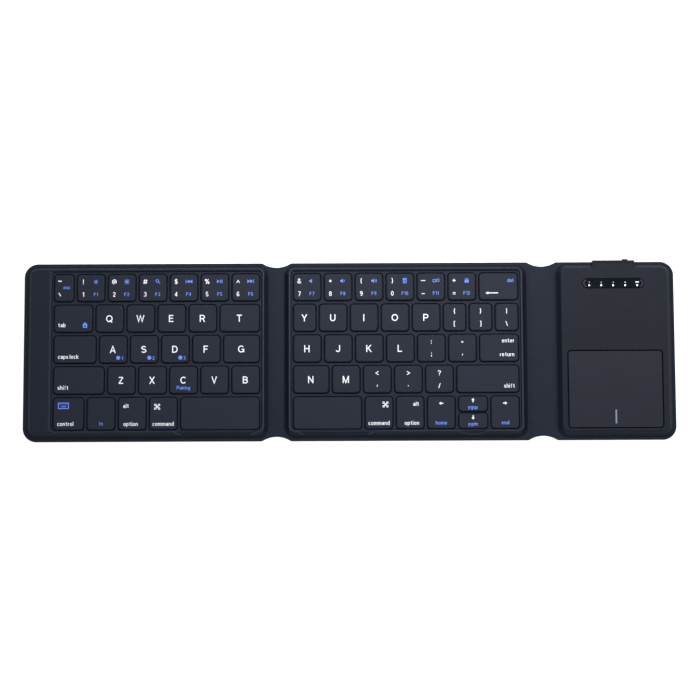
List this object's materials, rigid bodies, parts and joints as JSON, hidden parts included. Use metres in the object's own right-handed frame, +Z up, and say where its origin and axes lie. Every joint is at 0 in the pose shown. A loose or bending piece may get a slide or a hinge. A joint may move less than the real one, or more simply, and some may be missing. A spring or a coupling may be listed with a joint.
{
  "type": "folding keyboard",
  "caption": "Slim folding keyboard: two key panels and a touchpad panel joined by soft hinge strips, so that both side panels fold over the main one.",
  "frame": {"origin": "on the underside, at the middle of the main key panel, the face that it rests on", "axes": "+X along the keyboard towards the touchpad panel, +Y to the rear edge with the charging port, +Z up out of the keys"},
  "size_m": [0.3364, 0.0944, 0.006],
  "materials": {
    "covering": "fine matte grain",
    "hinge_covering": "fine matte grain, creased",
    "key_cap": "fine matte texture",
    "key_frame": "fine matte texture",
    "steel": "zinc-plated sheet",
    "membrane": "clear film",
    "dome_rubber": "translucent silicone",
    "scissor_plastic": "moulded",
    "housing": "fine matte texture",
    "touch_surface": "smooth matte film",
    "circuit": "solder mask",
    "battery_foil": "pouch foil",
    "port_steel": "satin",
    "slider_plastic": "moulded",
    "indicator_window": "polished, smoked",
    "lamps": "clear lens",
    "flat_cable": "polyimide film",
    "legend_white": "printed ink",
    "legend_blue": "printed ink"
  },
  "bodies": {
    "main_panel": {"main_bottom_cover": "covering", "main_top_cover": "covering", "main_key_frame": "key_frame", "main_base_plate": "steel", "main_membrane": "membrane", "main_domes": "dome_rubber", "main_scissors": "scissor_plastic"},
    "left_hinge": {"left_hinge_strip": "hinge_covering", "left_hinge_skin": "hinge_covering", "left_flat_cable": "flat_cable"},
    "left_panel": {"left_bottom_cover": "covering", "left_top_cover": "covering", "left_key_frame": "key_frame", "left_base_plate": "steel", "left_membrane": "membrane", "left_domes": "dome_rubber", "left_scissors": "scissor_plastic"},
    "right_hinge": {"right_hinge_strip": "hinge_covering", "right_hinge_skin": "hinge_covering", "right_flat_cable": "flat_cable"},
    "right_panel": {"right_bottom_cover": "covering", "right_top_cover": "covering", "right_housing": "housing", "touchpad_switches": "circuit", "circuit_board": "circuit", "battery": "battery_foil", "usb_port": "port_steel", "power_switch": "port_steel", "indicator_window": "indicator_window", "indicator_lamps": "lamps"},
    "touchpad": {"touchpad": "touch_surface", "touchpad_sensor": "circuit"},
    "power_slider": {"power_slider": "slider_plastic"},
    "key_escape": {"key_escape": "key_cap"},
    "keys_1_to_6": {"keys_1_to_6": "key_cap"},
    "key_tab": {"key_tab": "key_cap"},
    "keys_q_to_t": {"keys_q_to_t": "key_cap"},
    "key_caps_lock": {"key_caps_lock": "key_cap"},
    "keys_a_to_g": {"keys_a_to_g": "key_cap"},
    "key_shift_left": {"key_shift_left": "key_cap"},
    "keys_z_to_b": {"keys_z_to_b": "key_cap"},
    "key_control": {"key_control": "key_cap"},
    "key_fn": {"key_fn": "key_cap"},
    "key_option_left": {"key_option_left": "key_cap"},
    "key_command_left": {"key_command_left": "key_cap"},
    "key_space_left": {"key_space_left": "key_cap"},
    "keys_7_to_equal": {"keys_7_to_equal": "key_cap"},
    "key_backspace": {"key_backspace": "key_cap"},
    "keys_y_to_backslash": {"keys_y_to_backslash": "key_cap"},
    "keys_h_to_quote": {"keys_h_to_quote": "key_cap"},
    "key_enter": {"key_enter": "key_cap"},
    "keys_n_to_slash": {"keys_n_to_slash": "key_cap"},
    "key_shift_right": {"key_shift_right": "key_cap"},
    "key_space_right": {"key_space_right": "key_cap"},
    "keys_command_option_right": {"keys_command_option_right": "key_cap"},
    "key_left": {"key_left": "key_cap"},
    "key_up": {"key_up": "key_cap"},
    "key_down": {"key_down": "key_cap"},
    "key_right": {"key_right": "key_cap"}
  },
  "joints": [
    {"name": "left_spine_fold", "type": "hinge", "parent": "main_panel", "child": "left_hinge", "pos_m": [-0.0629, 0, 0.0014], "axis": [0, 1, 0], "range_deg": [0, 90], "deforming": ["left_hinge_skin", "left_flat_cable"]},
    {"name": "left_panel_fold", "type": "hinge", "parent": "left_hinge", "child": "left_panel", "pos_m": [-0.0726, 0, 0.0014], "axis": [0, 1, 0], "range_deg": [0, 90]},
    {"name": "right_spine_fold", "type": "hinge", "parent": "main_panel", "child": "right_hinge", "pos_m": [0.0635, 0, 0.0014], "axis": [0, -1, 0], "range_deg": [0, 90], "deforming": ["right_hinge_skin", "right_flat_cable"]},
    {"name": "right_panel_fold", "type": "hinge", "parent": "right_hinge", "child": "right_panel", "pos_m": [0.0799, 0, 0.0014], "axis": [0, -1, 0], "range_deg": [0, 90]},
    {"name": "touchpad_click", "type": "hinge", "parent": "right_panel", "child": "touchpad", "pos_m": [0.10775, -0.00147, 0.0051], "axis": [1, 0, 0], "range_deg": [0, 0.5], "stiffness_Nm_per_rad": 4, "springref_deg": -0.23},
    {"name": "power_slide", "type": "slide", "parent": "right_panel", "child": "power_slider", "axis": [1, 0, 0], "range_m": [-0.002, 0]},
    {"name": "key_escape_press", "type": "slide", "parent": "left_panel", "child": "key_escape", "axis": [0, 0, -1], "range_m": [0, 0.0012], "stiffness_N_per_m": 250, "springref_m": -0.0008, "deforming": ["left_domes", "left_scissors"]},
    {"name": "keys_1_to_6_press", "type": "slide", "parent": "left_panel", "child": "keys_1_to_6", "axis": [0, 0, -1], "range_m": [0, 0.0012], "stiffness_N_per_m": 250, "springref_m": -0.0008, "deforming": ["left_domes", "left_scissors"]},
    {"name": "key_tab_press", "type": "slide", "parent": "left_panel", "child": "key_tab", "axis": [0, 0, -1], "range_m": [0, 0.0012], "stiffness_N_per_m": 250, "springref_m": -0.0008, "deforming": ["left_domes", "left_scissors"]},
    {"name": "keys_q_to_t_press", "type": "slide", "parent": "left_panel", "child": "keys_q_to_t", "axis": [0, 0, -1], "range_m": [0, 0.0012], "stiffness_N_per_m": 250, "springref_m": -0.0008, "deforming": ["left_domes", "left_scissors"]},
    {"name": "key_caps_lock_press", "type": "slide", "parent": "left_panel", "child": "key_caps_lock", "axis": [0, 0, -1], "range_m": [0, 0.0012], "stiffness_N_per_m": 250, "springref_m": -0.0008, "deforming": ["left_domes", "left_scissors"]},
    {"name": "keys_a_to_g_press", "type": "slide", "parent": "left_panel", "child": "keys_a_to_g", "axis": [0, 0, -1], "range_m": [0, 0.0012], "stiffness_N_per_m": 250, "springref_m": -0.0008, "deforming": ["left_domes", "left_scissors"]},
    {"name": "key_shift_left_press", "type": "slide", "parent": "left_panel", "child": "key_shift_left", "axis": [0, 0, -1], "range_m": [0, 0.0012], "stiffness_N_per_m": 250, "springref_m": -0.0008, "deforming": ["left_domes", "left_scissors"]},
    {"name": "keys_z_to_b_press", "type": "slide", "parent": "left_panel", "child": "keys_z_to_b", "axis": [0, 0, -1], "range_m": [0, 0.0012], "stiffness_N_per_m": 250, "springref_m": -0.0008, "deforming": ["left_domes", "left_scissors"]},
    {"name": "key_control_press", "type": "slide", "parent": "left_panel", "child": "key_control", "axis": [0, 0, -1], "range_m": [0, 0.0012], "stiffness_N_per_m": 250, "springref_m": -0.0008, "deforming": ["left_domes", "left_scissors"]},
    {"name": "key_fn_press", "type": "slide", "parent": "left_panel", "child": "key_fn", "axis": [0, 0, -1], "range_m": [0, 0.0012], "stiffness_N_per_m": 250, "springref_m": -0.0008, "deforming": ["left_domes", "left_scissors"]},
    {"name": "key_option_left_press", "type": "slide", "parent": "left_panel", "child": "key_option_left", "axis": [0, 0, -1], "range_m": [0, 0.0012], "stiffness_N_per_m": 250, "springref_m": -0.0008, "deforming": ["left_domes", "left_scissors"]},
    {"name": "key_command_left_press", "type": "slide", "parent": "left_panel", "child": "key_command_left", "axis": [0, 0, -1], "range_m": [0, 0.0012], "stiffness_N_per_m": 250, "springref_m": -0.0008, "deforming": ["left_domes", "left_scissors"]},
    {"name": "key_space_left_press", "type": "slide", "parent": "left_panel", "child": "key_space_left", "axis": [0, 0, -1], "range_m": [0, 0.0012], "stiffness_N_per_m": 250, "springref_m": -0.0008, "deforming": ["left_domes", "left_scissors"]},
    {"name": "keys_7_to_equal_press", "type": "slide", "parent": "main_panel", "child": "keys_7_to_equal", "axis": [0, 0, -1], "range_m": [0, 0.0012], "stiffness_N_per_m": 250, "springref_m": -0.0008, "deforming": ["main_domes", "main_scissors"]},
    {"name": "key_backspace_press", "type": "slide", "parent": "main_panel", "child": "key_backspace", "axis": [0, 0, -1], "range_m": [0, 0.0012], "stiffness_N_per_m": 250, "springref_m": -0.0008, "deforming": ["main_domes", "main_scissors"]},
    {"name": "keys_y_to_backslash_press", "type": "slide", "parent": "main_panel", "child": "keys_y_to_backslash", "axis": [0, 0, -1], "range_m": [0, 0.0012], "stiffness_N_per_m": 250, "springref_m": -0.0008, "deforming": ["main_domes", "main_scissors"]},
    {"name": "keys_h_to_quote_press", "type": "slide", "parent": "main_panel", "child": "keys_h_to_quote", "axis": [0, 0, -1], "range_m": [0, 0.0012], "stiffness_N_per_m": 250, "springref_m": -0.0008, "deforming": ["main_domes", "main_scissors"]},
    {"name": "key_enter_press", "type": "slide", "parent": "main_panel", "child": "key_enter", "axis": [0, 0, -1], "range_m": [0, 0.0012], "stiffness_N_per_m": 250, "springref_m": -0.0008, "deforming": ["main_domes", "main_scissors"]},
    {"name": "keys_n_to_slash_press", "type": "slide", "parent": "main_panel", "child": "keys_n_to_slash", "axis": [0, 0, -1], "range_m": [0, 0.0012], "stiffness_N_per_m": 250, "springref_m": -0.0008, "deforming": ["main_domes", "main_scissors"]},
    {"name": "key_shift_right_press", "type": "slide", "parent": "main_panel", "child": "key_shift_right", "axis": [0, 0, -1], "range_m": [0, 0.0012], "stiffness_N_per_m": 250, "springref_m": -0.0008, "deforming": ["main_domes", "main_scissors"]},
    {"name": "key_space_right_press", "type": "slide", "parent": "main_panel", "child": "key_space_right", "axis": [0, 0, -1], "range_m": [0, 0.0012], "stiffness_N_per_m": 250, "springref_m": -0.0008, "deforming": ["main_domes", "main_scissors"]},
    {"name": "keys_command_option_right_press", "type": "slide", "parent": "main_panel", "child": "keys_command_option_right", "axis": [0, 0, -1], "range_m": [0, 0.0012], "stiffness_N_per_m": 250, "springref_m": -0.0008, "deforming": ["main_domes", "main_scissors"]},
    {"name": "key_left_press", "type": "slide", "parent": "main_panel", "child": "key_left", "axis": [0, 0, -1], "range_m": [0, 0.0012], "stiffness_N_per_m": 250, "springref_m": -0.0008, "deforming": ["main_domes", "main_scissors"]},
    {"name": "key_up_press", "type": "slide", "parent": "main_panel", "child": "key_up", "axis": [0, 0, -1], "range_m": [0, 0.0012], "stiffness_N_per_m": 250, "springref_m": -0.0008, "deforming": ["main_domes", "main_scissors"]},
    {"name": "key_down_press", "type": "slide", "parent": "main_panel", "child": "key_down", "axis": [0, 0, -1], "range_m": [0, 0.0012], "stiffness_N_per_m": 250, "springref_m": -0.0008, "deforming": ["main_domes", "main_scissors"]},
    {"name": "key_right_press", "type": "slide", "parent": "main_panel", "child": "key_right", "axis": [0, 0, -1], "range_m": [0, 0.0012], "stiffness_N_per_m": 250, "springref_m": -0.0008, "deforming": ["main_domes", "main_scissors"]}
  ]
}
